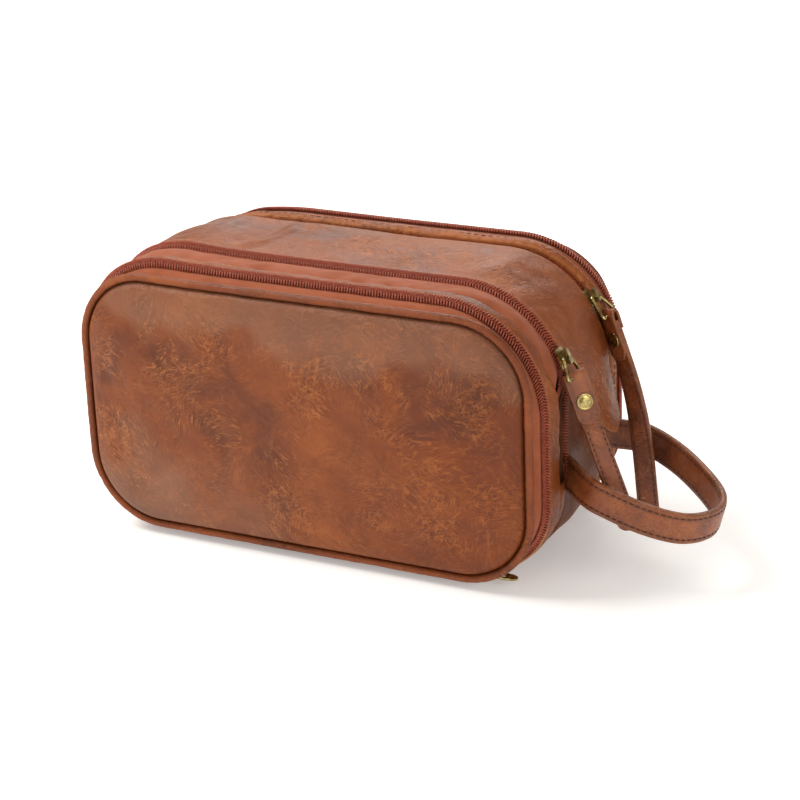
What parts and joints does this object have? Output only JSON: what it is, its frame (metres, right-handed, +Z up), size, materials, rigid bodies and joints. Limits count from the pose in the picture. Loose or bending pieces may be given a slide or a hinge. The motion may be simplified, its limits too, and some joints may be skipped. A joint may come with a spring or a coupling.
{
  "type": "hanging toiletry bag",
  "caption": "Boxy brown leather-look toiletry bag with zipped sections, piped end panels, side loop handle, leather zip pulls and a stowed hanging hook.",
  "frame": {"origin": "middle of the flat underside, on the plane the bag stands on", "axes": "+X towards the side with the loop handle, -Y towards the front panel, +Z up"},
  "size_m": [0.345, 0.139, 0.1518],
  "materials": {
    "brown_leather": "distressed satin synthetic leather, mottled mid brown",
    "dark_leather": "dark brown sunk leather",
    "strap_leather": "brown leather strap with edge stitching",
    "rust_tape": "woven reddish brown zip tape",
    "coil": "dark red brown nylon zip coil",
    "lining": "dark woven lining cloth",
    "mesh": "open mesh cloth",
    "elastic": "ribbed elastic",
    "foam": "soft padding foam",
    "board": "stiff plastic board",
    "antique_brass": "antique brass plating"
  },
  "bodies": {
    "main": {"top_gusset": "brown_leather", "lower_gusset": "dark_leather", "main_lining": "lining", "main_divider": "lining", "bottom_board": "board", "zip2_rear_tape": "rust_tape", "zip2_rear_coil": "coil", "zip3_front_tape": "rust_tape", "zip3_front_coil": "coil", "hook_tab": "strap_leather"},
    "front_section": {"section_gusset": "brown_leather", "front_hinge_strip": "brown_leather", "section_divider": "lining", "elastic_loops": "elastic", "zip1_rear_tape": "rust_tape", "zip1_rear_coil": "coil", "zip1_tail": "coil", "zip1_end_tab": "brown_leather", "zip2_front_tape": "rust_tape", "zip2_front_coil": "coil"},
    "front_cover": {"front_panel": "brown_leather", "front_panel_foam": "foam", "front_cover_lining": "lining", "front_piping": "brown_leather", "front_cover_hem": "brown_leather", "zip1_front_tape": "rust_tape", "zip1_front_coil": "coil", "mesh_pocket": "mesh"},
    "rear_section": {"rear_strip_gusset": "brown_leather", "rear_hinge_strip": "brown_leather", "rear_divider": "lining", "zip3_rear_tape": "rust_tape", "zip3_rear_coil": "coil", "zip4_front_tape": "rust_tape", "zip4_front_coil": "coil", "zip4_tail": "coil", "zip4_end_tab": "brown_leather"},
    "rear_cover": {"rear_panel": "brown_leather", "rear_panel_foam": "foam", "rear_cover_lining": "lining", "rear_piping": "brown_leather", "rear_cover_hem": "brown_leather", "zip4_rear_tape": "rust_tape", "zip4_rear_coil": "coil", "slip_pocket": "lining"},
    "slider_1": {"slider_1": "antique_brass"},
    "pull_tab_1": {"pull_tab_1": "antique_brass"},
    "slider_2": {"slider_2": "antique_brass"},
    "pull_ring_2": {"pull_ring_2": "antique_brass"},
    "pull_strap_2": {"pull_strap_2": "strap_leather", "strap_rivet_2": "antique_brass"},
    "slider_3": {"slider_3": "antique_brass"},
    "pull_ring_3": {"pull_ring_3": "antique_brass"},
    "pull_strap_3": {"pull_strap_3": "strap_leather", "strap_rivet_3": "antique_brass"},
    "slider_4": {"slider_4": "antique_brass"},
    "pull_tab_4": {"pull_tab_4": "antique_brass"},
    "handle": {"handle_strap": "strap_leather"},
    "hook_swivel": {"hook_swivel": "antique_brass"},
    "hang_hook": {"hang_hook": "antique_brass"}
  },
  "joints": [
    {"name": "front_section_hinge", "type": "hinge", "parent": "main", "child": "front_section", "pos_m": [0, -0.0245, 0.0003], "axis": [1, 0, 0], "range_deg": [0, 90]},
    {"name": "front_cover_hinge", "type": "hinge", "parent": "front_section", "child": "front_cover", "pos_m": [0, -0.0515, 0.0014], "axis": [1, 0, 0], "range_deg": [0, 90]},
    {"name": "rear_section_hinge", "type": "hinge", "parent": "main", "child": "rear_section", "pos_m": [0, 0.036, 0.0003], "axis": [-1, 0, 0], "range_deg": [0, 90]},
    {"name": "rear_cover_hinge", "type": "hinge", "parent": "rear_section", "child": "rear_cover", "pos_m": [0, 0.052, 0.0014], "axis": [-1, 0, 0], "range_deg": [0, 90]},
    {"name": "slider_1_travel", "type": "hinge", "parent": "front_section", "child": "slider_1", "pos_m": [0.091, -0.0515, 0.048], "axis": [0, -1, 0], "range_deg": [0, 80]},
    {"name": "pull_tab_1_flap", "type": "hinge", "parent": "slider_1", "child": "pull_tab_1", "pos_m": [0.09331, -0.0515, 0.00396], "axis": [0, 1, 0], "range_deg": [0, 70]},
    {"name": "slider_2_travel", "type": "hinge", "parent": "main", "child": "slider_2", "pos_m": [0.076, -0.0245, 0.095], "axis": [0, -1, 0], "range_deg": [-3, 66]},
    {"name": "pull_ring_2_flap", "type": "hinge", "parent": "slider_2", "child": "pull_ring_2", "pos_m": [0.13154, -0.0245, 0.11744], "axis": [0, -1, 0], "range_deg": [-1, 20]},
    {"name": "pull_strap_2_swing", "type": "hinge", "parent": "pull_ring_2", "child": "pull_strap_2", "pos_m": [0.13614, -0.0245, 0.10704], "axis": [0, -1, 0], "range_deg": [-1, 20]},
    {"name": "slider_3_travel", "type": "hinge", "parent": "main", "child": "slider_3", "pos_m": [0.076, 0.036, 0.095], "axis": [0, -1, 0], "range_deg": [0, 52]},
    {"name": "pull_ring_3_flap", "type": "hinge", "parent": "slider_3", "child": "pull_ring_3", "pos_m": [0.12292, 0.036, 0.12665], "axis": [0, -1, 0], "range_deg": [-3, 4]},
    {"name": "pull_strap_3_swing", "type": "hinge", "parent": "pull_ring_3", "child": "pull_strap_3", "pos_m": [0.13152, 0.036, 0.11725], "axis": [0, -1, 0], "range_deg": [-2, 5]},
    {"name": "slider_4_travel", "type": "hinge", "parent": "rear_section", "child": "slider_4", "pos_m": [0.091, 0.052, 0.048], "axis": [0, -1, 0], "range_deg": [0, 80]},
    {"name": "pull_tab_4_flap", "type": "hinge", "parent": "slider_4", "child": "pull_tab_4", "pos_m": [0.09331, 0.052, 0.00396], "axis": [0, 1, 0], "range_deg": [0, 70]},
    {"name": "handle_swing", "type": "hinge", "parent": "main", "child": "handle", "pos_m": [0.131, 0, 0.053], "axis": [0, -1, 0], "range_deg": [-15, 30]},
    {"name": "hook_swing", "type": "hinge", "parent": "main", "child": "hook_swivel", "pos_m": [0, -0.0156, 0.128], "axis": [-1, 0, 0], "range_deg": [0, 131]},
    {"name": "hook_spin", "type": "hinge", "parent": "hook_swivel", "child": "hang_hook", "pos_m": [0, -0.0156, 0.116], "axis": [0, 0, 1], "range_deg": [-15, 15]}
  ],
  "couplings": [
    {"joint": "hook_swing", "follows": "front_section_hinge", "ratio": 1.45}
  ]
}
